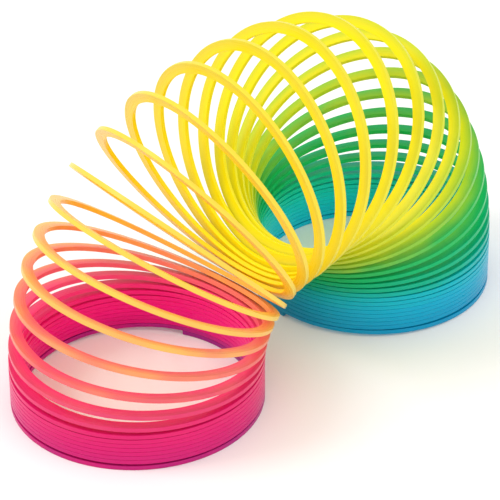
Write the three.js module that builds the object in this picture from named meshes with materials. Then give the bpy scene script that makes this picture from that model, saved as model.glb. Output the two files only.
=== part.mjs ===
// Spring coil toy: one flat plastic strip wound into a left-handed coil of 42 turns, standing as
// an arch on both of its ends.
//
// Millimetres, +Z up. +X runs along the arch, from the foot with the strip's lower end to the other
// foot. Y is across the arch. The origin is on the floor, at the centre of the bounding box.
//
// Each full turn of the strip is one solid. Turns meet on the inner side of the arch, where the
// strip runs along Y, so the strip's twist between two turns is a rotation about Y through that
// point.

import * as THREE from 'three';

// Strip and coil
const OUTER_DIAMETER = 75;
const STRIP_WIDTH = 3.4;
const STRIP_THICKNESS = 1.1;
const CLOSED_PITCH = 1.4;
const JUNCTION_GAP = 0.3;
const TURNS = 42;

// Ends of the strip: how far the first turn starts early, and how much of an end turn lies flat
const LEAD_IN_TURNS = 0.07;
const FLAT_END_TURNS = 0.6;

// Bend of the coil's axis, in turns counted from the first foot, and the share of it that is
// missing where the rising side of the arch runs straighter
const BEND_START = 6.4;
const BEND_EASE_IN = 8.7;
const BEND_END_GUESS = 35.7;
const BEND_END_REACH = 4;
const BEND_EASE_OUT = 18.1;
const SLACK_SHARE = 0.31;
const SLACK_CENTRE = 13.9;
const SLACK_SPREAD = 2.4;

// How far each turn lies off the one before it, across the coil's axis: turns sag towards the
// inside of the arch on its rising side, and ride up on each other just past its top
const SAG_SLIP = 0.73;
const SAG_CENTRE = 15.1;
const SAG_SPREAD = 4.1;
const RISE_SLIP = 3.24;
const RISE_CENTRE = 20.8;
const RISE_SPREAD = 1.4;

// Turns at each foot that stay closed when the toy stands
const CLOSED_TURNS_FIRST_FOOT = 7;
const CLOSED_TURNS_LAST_FOOT = 7;

// Facets
const SEGMENTS_PER_TURN = 32;
const STEPS_PER_TURN = 256;

// Part of the bend between two turns that a hinge can close before the turns would touch
const CLOSING_SHARE = 0.97;

// Colour of the strip along the coil: [turn, red, green, blue] of a few dyes
const DYES = [
  [0, 0.72, 0.11, 0.48],
  [4, 0.88, 0.08, 0.38],
  [8, 0.93, 0.16, 0.35],
  [11, 0.95, 0.38, 0.34],
  [14, 0.97, 0.62, 0.22],
  [17, 0.98, 0.83, 0.16],
  [22, 0.96, 0.92, 0.10],
  [26, 0.66, 0.83, 0.17],
  [29, 0.22, 0.71, 0.27],
  [33, 0.05, 0.66, 0.42],
  [36, 0.05, 0.64, 0.62],
  [42, 0.10, 0.50, 0.78],
];

const coilRadius = (OUTER_DIAMETER - STRIP_WIDTH) / 2;
const gapTurns = JUNCTION_GAP / (2 * Math.PI * coilRadius);

function smooth(t) {
  const c = Math.min(1, Math.max(0, t));
  return c * c * (3 - 2 * c);
}

function bump(u, centre, spread) {
  return Math.exp(-(((u - centre) / spread) ** 2));
}

// Height that an end turn has lost, at s turns from the strip's end, by lying flat
function flatDrop(s) {
  if (s >= 1) return 0;
  return CLOSED_PITCH * s * (1 - smooth((s - FLAT_END_TURNS) / (1 - FLAT_END_TURNS)));
}

// Bend angle and inner line of the coil at even steps, for a bend that ends at turn bendEnd
function axisTable(bendEnd) {
  const first = -LEAD_IN_TURNS;
  const count = Math.round((TURNS - first) * STEPS_PER_TURN);
  const step = (TURNS - first) / count;
  const bendRate = (u) => {
    const slack = SLACK_SHARE * bump(u, SLACK_CENTRE, SLACK_SPREAD);
    return (1 - slack) * smooth((u - BEND_START) / BEND_EASE_IN) * smooth((bendEnd - u) / BEND_EASE_OUT);
  };
  let total = 0;
  for (let i = 0; i < count; i++) {
    total += bendRate(first + (i + 0.5) * step) * step;
  }
  const rows = [{ psi: 0, x: coilRadius, z: STRIP_THICKNESS / 2 }];
  for (let i = 0; i < count; i++) {
    const u = first + (i + 0.5) * step;
    const rate = Math.PI * bendRate(u) / total;
    const pitch = CLOSED_PITCH + rate * STRIP_WIDTH / 2;
    const rise = RISE_SLIP * bump(u, RISE_CENTRE, RISE_SPREAD);
    const slip = rise - SAG_SLIP * bump(u, SAG_CENTRE, SAG_SPREAD);
    const row = rows[i];
    const mid = row.psi + rate * step / 2;
    rows.push({
      psi: row.psi + rate * step,
      x: row.x + step * (pitch * Math.sin(mid) - slip * Math.cos(mid)),
      z: row.z + step * (pitch * Math.cos(mid) + slip * Math.sin(mid)),
    });
  }
  return { first, step, rows };
}

// The bend ends where both feet stand on the floor
function solveBendEnd() {
  let low = BEND_END_GUESS - BEND_END_REACH;
  let high = BEND_END_GUESS + BEND_END_REACH;
  for (let i = 0; i < 50; i++) {
    const mid = (low + high) / 2;
    const rows = axisTable(mid).rows;
    const above = rows[rows.length - 1].z > STRIP_THICKNESS / 2;
    if (above) {
      high = mid;
    } else {
      low = mid;
    }
  }
  return (low + high) / 2;
}

const bendEnd = solveBendEnd();
const table = axisTable(bendEnd);

// Coil axis at turn u: bend angle, inner point, axis direction and direction to the inner side
function axisAt(u) {
  const f = (u - table.first) / table.step;
  const i = Math.min(table.rows.length - 2, Math.max(0, Math.floor(f)));
  const a = table.rows[i];
  const b = table.rows[i + 1];
  const t = f - i;
  const psi = a.psi + (b.psi - a.psi) * t;
  const along = new THREE.Vector3(Math.sin(psi), 0, Math.cos(psi));
  const inward = new THREE.Vector3(Math.cos(psi), 0, -Math.sin(psi));
  const inner = new THREE.Vector3(a.x + (b.x - a.x) * t, 0, a.z + (b.z - a.z) * t);
  inner.addScaledVector(along, -flatDrop(u + LEAD_IN_TURNS));
  inner.addScaledVector(along, flatDrop(TURNS - u));
  return { psi, inner, along, inward };
}

// Middle of the strip at turn u, with the strip's two cross directions
function stripAt(u) {
  const { inner, along, inward } = axisAt(u);
  const phi = 2 * Math.PI * u;
  const radial = inward.clone().multiplyScalar(Math.cos(phi));
  radial.y = -Math.sin(phi);
  const middle = inner.clone().addScaledVector(inward, -coilRadius).addScaledVector(radial, coilRadius);
  return { middle, radial, along };
}

// Turn positions of one solid's cross-sections
function turnStations(k) {
  const stations = [];
  const from = k === 0 ? -LEAD_IN_TURNS : k + gapTurns / 2;
  const to = k === TURNS - 1 ? TURNS : k + 1 - gapTurns / 2;
  stations.push(from);
  if (k === 0) stations.push(-1 / SEGMENTS_PER_TURN, 0);
  for (let i = 1; i < SEGMENTS_PER_TURN; i++) {
    stations.push(k + i / SEGMENTS_PER_TURN);
  }
  stations.push(to);
  return stations;
}

// Closed solid of rectangular section through the stations
function stripSolid(stations, shift) {
  const points = [];
  const corners = [[-1, -1], [1, -1], [1, 1], [-1, 1]];
  for (const u of stations) {
    const { middle, radial, along } = stripAt(u);
    for (const [a, b] of corners) {
      const p = middle.clone();
      p.addScaledVector(radial, a * STRIP_WIDTH / 2);
      p.addScaledVector(along, b * STRIP_THICKNESS / 2);
      p.add(shift);
      points.push(p);
    }
  }
  const index = [];
  const last = 4 * (stations.length - 1);
  for (let s = 0; s < stations.length - 1; s++) {
    for (let c = 0; c < 4; c++) {
      const a = 4 * s + c;
      const b = 4 * s + (c + 1) % 4;
      index.push(a, b, b + 4, a, b + 4, a + 4);
    }
  }
  index.push(0, 2, 1, 0, 3, 2);
  index.push(last, last + 1, last + 2, last, last + 2, last + 3);
  if (signedVolume(points, index) < 0) {
    for (let i = 0; i < index.length; i += 3) {
      [index[i + 1], index[i + 2]] = [index[i + 2], index[i + 1]];
    }
  }
  const geometry = new THREE.BufferGeometry();
  const coordinates = points.flatMap((p) => [p.x, p.y, p.z]);
  geometry.setAttribute('position', new THREE.Float32BufferAttribute(coordinates, 3));
  geometry.setIndex(index);
  geometry.computeVertexNormals();
  return geometry;
}

function signedVolume(points, index) {
  let volume = 0;
  for (let i = 0; i < index.length; i += 3) {
    const a = points[index[i]];
    const b = points[index[i + 1]];
    const c = points[index[i + 2]];
    volume += a.dot(b.clone().cross(c)) / 6;
  }
  return volume;
}

// Dye colour at turn u
function dyeAt(u) {
  let i = 0;
  while (i < DYES.length - 2 && DYES[i + 1][0] < u) i++;
  const a = DYES[i];
  const b = DYES[i + 1];
  const t = Math.min(1, Math.max(0, (u - a[0]) / (b[0] - a[0])));
  return [1, 2, 3].map((c) => a[c] + (b[c] - a[c]) * t);
}

// Shift that puts the bounding box's bottom centre at the origin
function centreShift() {
  const box = new THREE.Box3();
  for (let k = 0; k < TURNS; k++) {
    const geometry = stripSolid(turnStations(k), new THREE.Vector3());
    geometry.computeBoundingBox();
    box.union(geometry.boundingBox);
  }
  return new THREE.Vector3(-(box.min.x + box.max.x) / 2, -(box.min.y + box.max.y) / 2, -box.min.z);
}

const spring = new THREE.Group();
spring.name = 'spring_coil_toy';
const shift = centreShift();

for (let k = 0; k < TURNS; k++) {
  const [r, g, b] = dyeAt(k + 0.5);
  const material = new THREE.MeshStandardMaterial({
    color: new THREE.Color().setRGB(r, g, b, THREE.SRGBColorSpace),
    roughness: 0.35,
    metalness: 0,
  });
  const turn = new THREE.Mesh(stripSolid(turnStations(k), shift), material);
  turn.name = `turn_${String(k + 1).padStart(2, '0')}`;
  spring.add(turn);
}

// Where turns are joined: the inner point, the bend it can close and the closed pitch there.
// Joint k is between turn k and turn k + 1.
spring.userData.junctions = [];
for (let k = 1; k < TURNS; k++) {
  const { psi, inner, along } = axisAt(k);
  const before = axisAt(k - 0.5).psi;
  const after = axisAt(k + 0.5).psi;
  const inFoot = k < CLOSED_TURNS_FIRST_FOOT || k > TURNS - CLOSED_TURNS_LAST_FOOT;
  spring.userData.junctions.push({
    turn: k,
    point: inner.clone().add(shift).toArray(),
    axis: along.toArray(),
    psi,
    closing: inFoot ? 0 : CLOSING_SHARE * (after - before),
  });
}

export default spring;
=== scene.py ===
"""Rainbow plastic walking spring, standing as an arch on both of its ends.

Metres, +Z up, in the CAD model's frame. The spring is one moulded strip, wound into a left-handed
coil. It is made in pieces of one turn.
"""

import math

import bpy
import numpy as np
from mathutils import Matrix, Vector


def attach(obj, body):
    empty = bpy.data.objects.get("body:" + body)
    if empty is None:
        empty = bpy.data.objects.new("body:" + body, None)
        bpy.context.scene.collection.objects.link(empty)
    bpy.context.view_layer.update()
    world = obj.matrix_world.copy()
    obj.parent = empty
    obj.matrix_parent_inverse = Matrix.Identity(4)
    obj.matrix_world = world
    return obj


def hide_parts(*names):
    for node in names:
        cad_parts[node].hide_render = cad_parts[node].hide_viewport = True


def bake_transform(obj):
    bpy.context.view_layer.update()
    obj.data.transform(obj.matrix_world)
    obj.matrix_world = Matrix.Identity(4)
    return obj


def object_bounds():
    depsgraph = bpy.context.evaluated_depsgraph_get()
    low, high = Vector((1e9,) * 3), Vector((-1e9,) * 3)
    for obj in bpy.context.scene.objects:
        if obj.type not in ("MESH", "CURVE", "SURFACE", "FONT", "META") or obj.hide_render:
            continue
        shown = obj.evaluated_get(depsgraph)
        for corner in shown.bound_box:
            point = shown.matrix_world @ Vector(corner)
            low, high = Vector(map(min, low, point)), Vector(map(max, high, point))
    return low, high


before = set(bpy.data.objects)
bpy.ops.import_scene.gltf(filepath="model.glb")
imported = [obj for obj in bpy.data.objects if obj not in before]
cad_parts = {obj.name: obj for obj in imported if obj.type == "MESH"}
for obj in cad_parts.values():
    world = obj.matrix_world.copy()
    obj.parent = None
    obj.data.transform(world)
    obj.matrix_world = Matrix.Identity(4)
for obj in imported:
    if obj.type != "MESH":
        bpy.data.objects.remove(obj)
cad_low, cad_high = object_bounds()

# Strip and coil. The visible strip is a little thicker than the CAD one, so closed turns nearly
# touch
OUTER_DIAMETER = 0.075
STRIP_WIDTH = 0.0034
CAD_THICKNESS = 0.0011
STRIP_THICKNESS = 0.00137
CLOSED_PITCH = 0.0014
TURNS = 42
COIL_RADIUS = (OUTER_DIAMETER - STRIP_WIDTH) / 2

# Ends of the strip: how far the first turn starts early, and how much of an end turn lies flat
LEAD_IN_TURNS = 0.07
FLAT_END_TURNS = 0.6

# Bend of the coil's axis, in turns counted from the first foot, and the share of it that is
# missing where the rising side of the arch runs straighter
BEND_START = 6.4
BEND_EASE_IN = 8.7
BEND_END_GUESS = 35.7
BEND_END_REACH = 4
BEND_END_HALVINGS = 50
BEND_EASE_OUT = 18.1
SLACK_SHARE = 0.31
SLACK_CENTRE = 13.9
SLACK_SPREAD = 2.4

# How far each turn lies off the one before it, across the coil's axis: turns sag towards the
# inside of the arch on its rising side, and ride up on each other just past its top
SAG_SLIP = 0.00073
SAG_CENTRE = 15.1
SAG_SPREAD = 4.1
RISE_SLIP = 0.00324
RISE_CENTRE = 20.8
RISE_SPREAD = 1.4

# Mesh of the strip. TIP_ROUNDING is the share of a full round that its two tips take
STEPS_PER_TURN = 256
RINGS_PER_TURN = 120
CORNER_RADIUS = 0.00016
CORNER_POINTS = 4
TIP_LENGTH = 0.0004
TIP_RINGS = 4
TIP_ROUNDING = 0.9

# Body k carries the turn from k - 1 to k, so its middle is half a turn before k
HALF_TURN = 0.5

# How light the outer and inner dyes are, in linear light. The outer one is deepened, for a room
# that is bright enough to bleach the floor. The inner one is left lighter as painted light: it
# stands in for light that comes through the stacked turns onto the inner faces.
OUTER_LIGHTNESS = 0.84
INNER_PAINTED_LIGHTNESS = 1.0

# The dyes are read askew round the coil: on its inner side this many turns behind the strip, and
# on its outer side as many ahead. The skew is painted light and shade: one side of each turn is
# coloured as if lit more than the other.
PAINTED_LIGHT_SLANT = 0.5

# Part of the strip's width over which the inner dye gives way to the outer one
DYE_CHANGE = (0.2, 0.95)

# Dye along the coil, as [turn, red, green, blue] in sRGB, on its outer and its inner face. The
# rows at turn 0
# hold painted shade: they are darker and more purple where the first foot meets the floor.
OUTER_DYES_AND_SHADE = [
    # Turn 0 is darker and more purple: painted shade where the first foot meets the floor
    [0, 0.72, 0.12, 0.50],
    [1, 0.84, 0.10, 0.48],
    [5, 0.90, 0.08, 0.46],
    [8, 0.93, 0.12, 0.45],
    [9.5, 0.93, 0.27, 0.46],
    [10.7, 0.96, 0.42, 0.45],
    [11.8, 0.99, 0.58, 0.44],
    [12.8, 1.00, 0.76, 0.40],
    [14, 1.00, 0.84, 0.36],
    [16, 1.00, 0.87, 0.32],
    [19, 0.97, 0.90, 0.24],
    [22, 0.94, 0.92, 0.20],
    [24, 0.84, 0.90, 0.18],
    [26, 0.62, 0.83, 0.24],
    [27.3, 0.22, 0.77, 0.36],
    [28.6, 0.00, 0.75, 0.42],
    [31, 0.00, 0.73, 0.58],
    [33, 0.00, 0.75, 0.80],
    [36, 0.00, 0.70, 0.84],
    [42, 0.02, 0.60, 0.79],
]
INNER_DYES_AND_SHADE = [
    # Turn 0 is darker and more purple: painted shade where the first foot meets the floor
    [0, 0.60, 0.12, 0.52],
    [1.5, 0.86, 0.00, 0.50],
    [5, 0.95, 0.00, 0.52],
    [8.5, 0.96, 0.08, 0.49],
    [10.5, 0.96, 0.25, 0.48],
    [12, 0.94, 0.40, 0.42],
    [13.5, 0.97, 0.58, 0.32],
    [15.5, 1.00, 0.80, 0.12],
    [18, 0.99, 0.89, 0.02],
    [22, 0.96, 0.91, 0.03],
    [25, 0.91, 0.89, 0.04],
    [26.4, 0.70, 0.83, 0.12],
    [27.6, 0.40, 0.75, 0.24],
    [28.8, 0.08, 0.72, 0.32],
    [30.5, 0.00, 0.74, 0.38],
    [33, 0.00, 0.82, 0.70],
    [37, 0.00, 0.83, 0.86],
    [42, 0.00, 0.76, 0.90],
]

# Plastic: noise in strip coordinates, and what it does to the dye, in turns, and to the gloss
NOISE_RANGE = (0.3, 0.7)
CLOUD_SCALE = (60, 60, 60)
CLOUD_DETAIL = 2
DYE_WANDER = (-0.5, 0.5)
STREAK_SCALE = (120, 9000, 9000)
STREAK_DETAIL = 3
STREAK_ROUGHNESS = (0.24, 0.36)
STREAK_STRENGTH = 0.12
STREAK_HEIGHT = 0.00005
PLASTIC_IOR = 1.49
PLASTIC_SPECULAR = 0.22

# Camera: the point it looks at, from the middle of the spring's base, and how it stands to it
LOOK_AT = Vector((-0.0082, -0.0057, 0.0351))
CAMERA_AZIMUTH = math.radians(43.45)
CAMERA_ELEVATION = math.radians(31.82)
CAMERA_ROLL = math.radians(-0.44)
CAMERA_DISTANCE = 0.788
CAMERA_LENS_MM = 192
CAMERA_SENSOR_MM = 36

# Floor, and the lights as [name, place, size, power]
FLOOR_SIZE = 6.0
FLOOR_DROP = 0.00005
FLOOR_WHITE = 0.92
FLOOR_ROUGHNESS = 0.9
FLOOR_GLOW = 0.05
SOFTBOXES = [
    ["key", (-0.6, 0.5, 0.95), 0.4, 4.0],
    ["fill", (0.15, -0.95, 0.7), 0.9, 2.0],
]
ROOM_COLOUR = (1, 0.96, 0.93)
ROOM_STRENGTH = 1.05


# ---------------------------------------------------------------- camera


def make_camera():
    """Camera that looks down on the arch from its near left."""
    level = math.cos(CAMERA_ELEVATION)
    forward = Vector((
        math.sin(CAMERA_AZIMUTH) * level,
        math.cos(CAMERA_AZIMUTH) * level,
        -math.sin(CAMERA_ELEVATION),
    ))
    right = Vector((math.cos(CAMERA_AZIMUTH), -math.sin(CAMERA_AZIMUTH), 0))
    up = right.cross(forward)
    right_rolled = right * math.cos(CAMERA_ROLL) + up * math.sin(CAMERA_ROLL)
    up_rolled = up * math.cos(CAMERA_ROLL) - right * math.sin(CAMERA_ROLL)
    data = bpy.data.cameras.new("camera")
    data.lens = CAMERA_LENS_MM
    data.sensor_width = CAMERA_SENSOR_MM
    camera = bpy.data.objects.new("camera", data)
    axes = Matrix((right_rolled, up_rolled, -forward)).transposed()
    place = Matrix.Translation(LOOK_AT - forward * CAMERA_DISTANCE)
    camera.matrix_world = place @ axes.to_4x4()
    bpy.context.scene.collection.objects.link(camera)
    bpy.context.scene.camera = camera


# ---------------------------------------------------------------- path of the strip


def smooth(t):
    c = np.clip(t, 0, 1)
    return c * c * (3 - 2 * c)


def bump(u, centre, spread):
    return np.exp(-(((u - centre) / spread) ** 2))


def axis_table(bend_end):
    """Bend angle and inner line of the coil at even steps, for a bend that ends at bend_end."""
    count = round((TURNS + LEAD_IN_TURNS) * STEPS_PER_TURN)
    step = (TURNS + LEAD_IN_TURNS) / count
    u = -LEAD_IN_TURNS + (np.arange(count) + 0.5) * step
    ease_in = smooth((u - BEND_START) / BEND_EASE_IN)
    rate = ease_in * smooth((bend_end - u) / BEND_EASE_OUT)
    rate *= 1 - SLACK_SHARE * bump(u, SLACK_CENTRE, SLACK_SPREAD)
    rate *= math.pi / (rate.sum() * step)
    pitch = CLOSED_PITCH + rate * STRIP_WIDTH / 2
    rise = RISE_SLIP * bump(u, RISE_CENTRE, RISE_SPREAD)
    slip = rise - SAG_SLIP * bump(u, SAG_CENTRE, SAG_SPREAD)
    psi = np.concatenate([[0], np.cumsum(rate * step)])
    middle = psi[:-1] + rate * step / 2
    across = step * (pitch * np.sin(middle) - slip * np.cos(middle))
    up = step * (pitch * np.cos(middle) + slip * np.sin(middle))
    x = COIL_RADIUS + np.concatenate([[0], np.cumsum(across)])
    z = CAD_THICKNESS / 2 + np.concatenate([[0], np.cumsum(up)])
    turn = -LEAD_IN_TURNS + np.arange(count + 1) * step
    return {"turn": turn, "psi": psi, "x": x, "z": z}


def solve_bend_end():
    """The bend ends where both feet stand on the floor."""
    low = BEND_END_GUESS - BEND_END_REACH
    high = BEND_END_GUESS + BEND_END_REACH
    for _ in range(BEND_END_HALVINGS):
        mid = (low + high) / 2
        if axis_table(mid)["z"][-1] > CAD_THICKNESS / 2:
            high = mid
        else:
            low = mid
    return (low + high) / 2


def flat_drop(s):
    """Height that an end turn has lost, at s turns from the strip's end, by lying flat."""
    faded = 1 - smooth((s - FLAT_END_TURNS) / (1 - FLAT_END_TURNS))
    return np.where(s >= 1, 0, CLOSED_PITCH * s * faded)


TABLE = axis_table(solve_bend_end())


def strip_at(u):
    """Middle of the strip at turns u, with its cross directions: outward, and along the axis."""
    psi = np.interp(u, TABLE["turn"], TABLE["psi"])
    zero = np.zeros_like(psi)
    along = np.stack([np.sin(psi), zero, np.cos(psi)], -1)
    inward = np.stack([np.cos(psi), zero, -np.sin(psi)], -1)
    x = np.interp(u, TABLE["turn"], TABLE["x"])
    z = np.interp(u, TABLE["turn"], TABLE["z"])
    inner = np.stack([x, zero, z], -1)
    inner = inner + along * (flat_drop(TURNS - u) - flat_drop(u + LEAD_IN_TURNS))[..., None]
    phi = 2 * math.pi * u
    radial = inward * np.cos(phi)[..., None]
    radial[..., 1] = -np.sin(phi)
    middle = inner - inward * COIL_RADIUS + radial * COIL_RADIUS
    return middle, radial, along


def base_shift():
    """Shift that puts the spring's own box over the CAD model's."""
    u = np.linspace(-LEAD_IN_TURNS, TURNS, TURNS * STEPS_PER_TURN)
    middle, radial, along = strip_at(u)
    corners = np.concatenate([
        middle + radial * a * STRIP_WIDTH / 2 + along * b * STRIP_THICKNESS / 2
        for a in (-1, 1)
        for b in (-1, 1)
    ])
    low, high = corners.min(0), corners.max(0)
    return np.array([
        (cad_low.x + cad_high.x - low[0] - high[0]) / 2,
        (cad_low.y + cad_high.y - low[1] - high[1]) / 2,
        cad_low.z - low[2],
    ])


# ---------------------------------------------------------------- mesh of one piece


def section():
    """Rounded rectangle across the strip, as outward and upward distances, and its normals."""
    points, normals = [], []
    half_width = STRIP_WIDTH / 2 - CORNER_RADIUS
    half_thickness = STRIP_THICKNESS / 2 - CORNER_RADIUS
    for corner, (a, b) in enumerate(((1, -1), (1, 1), (-1, 1), (-1, -1))):
        start = math.pi / 2 * (corner - 1)
        for i in range(CORNER_POINTS):
            angle = start + math.pi / 2 * i / (CORNER_POINTS - 1)
            normal = np.array([math.cos(angle), math.sin(angle)])
            points.append(np.array([a * half_width, b * half_thickness]) + normal * CORNER_RADIUS)
            normals.append(normal)
    return np.array(points), np.array(normals)


def turn_span(k):
    """Where piece k starts and ends: at the middles of bodies k and k + 1, or at a tip."""
    first = -LEAD_IN_TURNS if k == 1 else k - HALF_TURN
    last = TURNS if k == TURNS else k + HALF_TURN
    return first, last


def turn_stations(k):
    """Turn positions of the rings of piece k, and how full its section is there."""
    first, last = turn_span(k)
    count = round((last - first) * RINGS_PER_TURN)
    u = np.linspace(first, last, count + 1)
    full = np.ones(len(u))
    tip = TIP_LENGTH / (2 * math.pi * COIL_RADIUS)
    way = (1 - np.cos(np.linspace(0, math.pi / 2, TIP_RINGS + 1)))[::-1]
    rounded = np.sqrt(1 - way ** 2 * TIP_ROUNDING)
    if k == 1:
        u = np.concatenate([first + tip * (1 - way), u[1:]])
        full = np.concatenate([rounded, full[1:]])
    if k == TURNS:
        u = np.concatenate([u[:-1], (last - tip * (1 - way))[::-1]])
        full = np.concatenate([full[:-1], rounded[::-1]])
    return u, full


def shade_turn(mesh, verts, radial, along, sides):
    """Smooth normals from the strip's own shape, so no seam shows between pieces; flat ends."""
    _, flat = section()
    normals = radial[:, None] * flat[None, :, :1] + along[:, None] * flat[None, :, 1:]
    way = np.gradient(verts.mean(1), axis=0)
    way /= np.linalg.norm(way, axis=1)[:, None]
    normals -= (normals * way[:, None]).sum(-1)[..., None] * way[:, None]
    normals /= np.linalg.norm(normals, axis=-1)[..., None]
    corner_vertex = np.empty(len(mesh.loops), np.int32)
    mesh.loops.foreach_get("vertex_index", corner_vertex)
    corner_normals = normals.reshape(-1, 3)[corner_vertex]
    corner_normals[-2 * sides:-sides] = -way[0]
    corner_normals[-sides:] = way[-1]
    mesh.polygons.foreach_set("use_smooth", [True] * len(mesh.polygons))
    mesh.normals_split_custom_set(corner_normals.tolist())


def make_turn(k, shift):
    """Piece k of the strip, closed at both ends, and the turn at which each vertex lies."""
    u, full = turn_stations(k)
    middle, radial, along = strip_at(u)
    points, _ = section()
    inset = (1 - full) * STRIP_THICKNESS / 2
    a = points[None, :, 0] - np.sign(points[None, :, 0]) * inset[:, None]
    b = points[None, :, 1] * full[:, None]
    wide = radial[:, None] * a[..., None]
    verts = middle[:, None] + wide + along[:, None] * b[..., None] + shift
    rings, sides = verts.shape[:2]
    ring = np.arange(rings - 1)[:, None] * sides
    side = np.arange(sides)[None, :]
    following = (side + 1) % sides
    near, far = ring + side, ring + following
    quads = np.stack([near, far, far + sides, near + sides], -1)
    faces = quads.reshape(-1, 4).tolist()
    faces.append(list(reversed(range(sides))))
    faces.append([(rings - 1) * sides + i for i in range(sides)])
    mesh = bpy.data.meshes.new(f"strip_turn_{k:02d}")
    mesh.from_pydata(verts.reshape(-1, 3).tolist(), [], faces)
    shade_turn(mesh, verts, radial, along, sides)
    # Painted light and shade: the dye is read askew round each turn
    painted_light_turns = u - PAINTED_LIGHT_SLANT * np.cos(2 * math.pi * u)
    turn = mesh.attributes.new("dye_and_light_turn", "FLOAT", "POINT")
    turn.data.foreach_set("value", np.repeat(painted_light_turns, sides).astype(np.float32))
    outwards = np.tile(points[:, 0], rings) / STRIP_WIDTH + 0.5
    outward = mesh.attributes.new("outward", "FLOAT", "POINT")
    outward.data.foreach_set("value", outwards.astype(np.float32))
    place = np.stack([
        np.repeat(u * 2 * math.pi * COIL_RADIUS, sides),
        np.tile(points[:, 0], rings),
        np.tile(points[:, 1], rings),
    ], -1)
    grain = mesh.attributes.new("strip_place", "FLOAT_VECTOR", "POINT")
    grain.data.foreach_set("vector", place.astype(np.float32).ravel())
    mesh.update()
    piece = bpy.data.objects.new(f"strip_turn_{k:02d}", mesh)
    bpy.context.scene.collection.objects.link(piece)
    return piece, np.repeat(u, sides)


def attach_turn(piece, k):
    """Piece k goes from the middle of body k to the middle of the next one. Its CAD turn is
    hidden;
    the last piece is put on its body, and the others are left in place on no body."""
    node = f"turn_{k:02d}"
    body = f"coil_{k:02d}"
    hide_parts(node)
    if k == TURNS:
        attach(piece, body)
        return
    ends, _, _ = strip_at(np.array([k - HALF_TURN, k + HALF_TURN]))
    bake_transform(piece)


# ---------------------------------------------------------------- material


def linear(channel):
    """One sRGB channel as linear light."""
    return channel / 12.92 if channel <= 0.04045 else ((channel + 0.055) / 1.055) ** 2.4


def dye_ramp(nodes, links, position, dyes, lightness, name):
    """Colour ramp that holds the dyes along the coil, with the painted shade in their rows at turn
    0.
    """
    ramp = nodes.new("ShaderNodeValToRGB")
    ramp.name = name
    stops = ramp.color_ramp.elements
    while len(stops) < len(dyes):
        stops.new(1.0)
    for stop, (turn, r, g, b) in zip(stops, dyes):
        stop.position = turn / TURNS
        stop.color = [linear(channel) * lightness for channel in (r, g, b)] + [1]
    links.new(position, ramp.inputs["Fac"])
    return ramp.outputs["Color"]


def mapped(nodes, links, value, from_range, to_range):
    """A value carried from one range to another."""
    node = nodes.new("ShaderNodeMapRange")
    node.inputs["From Min"].default_value, node.inputs["From Max"].default_value = from_range
    node.inputs["To Min"].default_value, node.inputs["To Max"].default_value = to_range
    links.new(value, node.inputs["Value"])
    return node.outputs["Result"]


def noise(nodes, links, place, scale, detail):
    """Noise in strip coordinates, with a scale of its own along, across and through the strip."""
    stretch = nodes.new("ShaderNodeVectorMath")
    stretch.operation = "MULTIPLY"
    stretch.inputs[1].default_value = scale
    links.new(place, stretch.inputs[0])
    node = nodes.new("ShaderNodeTexNoise")
    node.inputs["Scale"].default_value = 1.0
    node.inputs["Detail"].default_value = detail
    links.new(stretch.outputs[0], node.inputs["Vector"])
    return node.outputs["Fac"]


def make_plastic():
    """Glossy moulded plastic whose dye changes along the strip, with painted light and shade in
    its colour, and fine drawn lines along it.
    """
    material = bpy.data.materials.new("rainbow_plastic")
    material.use_nodes = True
    nodes, links = material.node_tree.nodes, material.node_tree.links
    shader = nodes["Principled BSDF"]
    turn = nodes.new("ShaderNodeAttribute")
    turn.attribute_name = "dye_and_light_turn"
    outward = nodes.new("ShaderNodeAttribute")
    outward.attribute_name = "outward"
    place = nodes.new("ShaderNodeAttribute")
    place.attribute_name = "strip_place"

    clouds = noise(nodes, links, place.outputs["Vector"], CLOUD_SCALE, CLOUD_DETAIL)
    wander = mapped(nodes, links, clouds, NOISE_RANGE, DYE_WANDER)
    moved = nodes.new("ShaderNodeMath")
    moved.operation = "ADD"
    links.new(turn.outputs["Fac"], moved.inputs[0])
    links.new(wander, moved.inputs[1])
    position = mapped(nodes, links, moved.outputs[0], (0, TURNS), (0, 1))

    # The inner dyes are lighter than the outer ones: painted light on the inner faces
    inner = dye_ramp(nodes, links, position, INNER_DYES_AND_SHADE, INNER_PAINTED_LIGHTNESS, "inner_dyes_and_shade")
    outer = dye_ramp(nodes, links, position, OUTER_DYES_AND_SHADE, OUTER_LIGHTNESS, "outer_dyes_and_shade")
    change = mapped(nodes, links, outward.outputs["Fac"], DYE_CHANGE, (0, 1))
    # Dye with painted light and shade: the skew round each turn, the lighter inner face, the dark
    # foot rows
    dye = nodes.new("ShaderNodeMix")
    dye.data_type = "RGBA"
    links.new(change, dye.inputs["Factor"])
    links.new(inner, dye.inputs["A"])
    links.new(outer, dye.inputs["B"])
    links.new(dye.outputs["Result"], shader.inputs["Base Color"])

    streaks = noise(nodes, links, place.outputs["Vector"], STREAK_SCALE, STREAK_DETAIL)
    roughness = mapped(nodes, links, streaks, NOISE_RANGE, STREAK_ROUGHNESS)
    links.new(roughness, shader.inputs["Roughness"])
    relief = nodes.new("ShaderNodeBump")
    relief.inputs["Strength"].default_value = STREAK_STRENGTH
    relief.inputs["Distance"].default_value = STREAK_HEIGHT
    links.new(streaks, relief.inputs["Height"])
    links.new(relief.outputs["Normal"], shader.inputs["Normal"])

    shader.inputs["IOR"].default_value = PLASTIC_IOR
    shader.inputs["Specular IOR Level"].default_value = PLASTIC_SPECULAR
    return material


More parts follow.
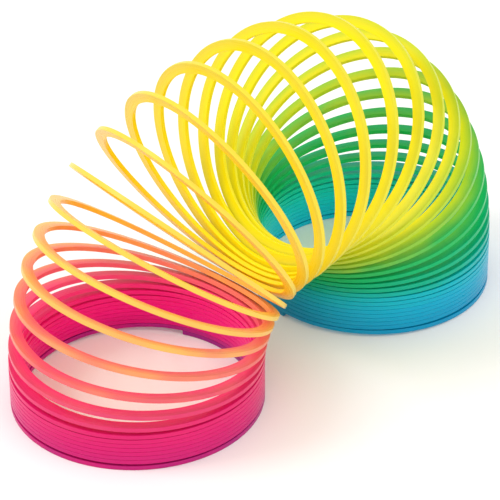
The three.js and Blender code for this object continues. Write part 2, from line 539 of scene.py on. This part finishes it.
def make_spring():
    """The whole strip, in as many pieces as it has turns."""
    shift = base_shift()
    plastic = make_plastic()
    for k in range(1, TURNS + 1):
        piece, turns = make_turn(k, shift)
        piece.data.materials.append(plastic)
        attach_turn(piece, k)


# ---------------------------------------------------------------- stage


def make_floor():
    """White paper that the spring stands on."""
    half = FLOOR_SIZE / 2
    height = cad_low.z - FLOOR_DROP
    mesh = bpy.data.meshes.new("floor")
    square = ((-half, -half), (half, -half), (half, half), (-half, half))
    corners = [(x, y, height) for x, y in square]
    mesh.from_pydata(corners, [], [(0, 1, 2, 3)])
    floor = bpy.data.objects.new("floor", mesh)
    bpy.context.scene.collection.objects.link(floor)
    material = bpy.data.materials.new("white_paper")
    material.use_nodes = True
    shader = material.node_tree.nodes["Principled BSDF"]
    shader.inputs["Base Color"].default_value = (FLOOR_WHITE, FLOOR_WHITE, FLOOR_WHITE, 1)
    shader.inputs["Roughness"].default_value = FLOOR_ROUGHNESS
    shader.inputs["Emission Color"].default_value = (1, 1, 1, 1)
    shader.inputs["Emission Strength"].default_value = FLOOR_GLOW
    mesh.materials.append(material)


def make_softbox(name, location, size, power):
    """Square area light aimed at the middle of the arch."""
    data = bpy.data.lights.new(name, "AREA")
    data.shape = "SQUARE"
    data.size = size
    data.energy = power
    light = bpy.data.objects.new(name, data)
    aim = Vector((0, 0, (cad_low.z + cad_high.z) / 2))
    light.location = location
    light.rotation_mode = "QUATERNION"
    light.rotation_quaternion = (aim - Vector(location)).to_track_quat("-Z", "Y")
    bpy.context.scene.collection.objects.link(light)


def make_lights():
    """Softboxes in a bright white room."""
    for softbox in SOFTBOXES:
        make_softbox(*softbox)
    world = bpy.data.worlds.new("white_room")
    world.use_nodes = True
    background = world.node_tree.nodes["Background"]
    background.inputs["Color"].default_value = (*ROOM_COLOUR, 1)
    background.inputs["Strength"].default_value = ROOM_STRENGTH
    bpy.context.scene.world = world
    bpy.context.scene.view_settings.view_transform = "Standard"


make_camera()
make_spring()
make_floor()
make_lights()
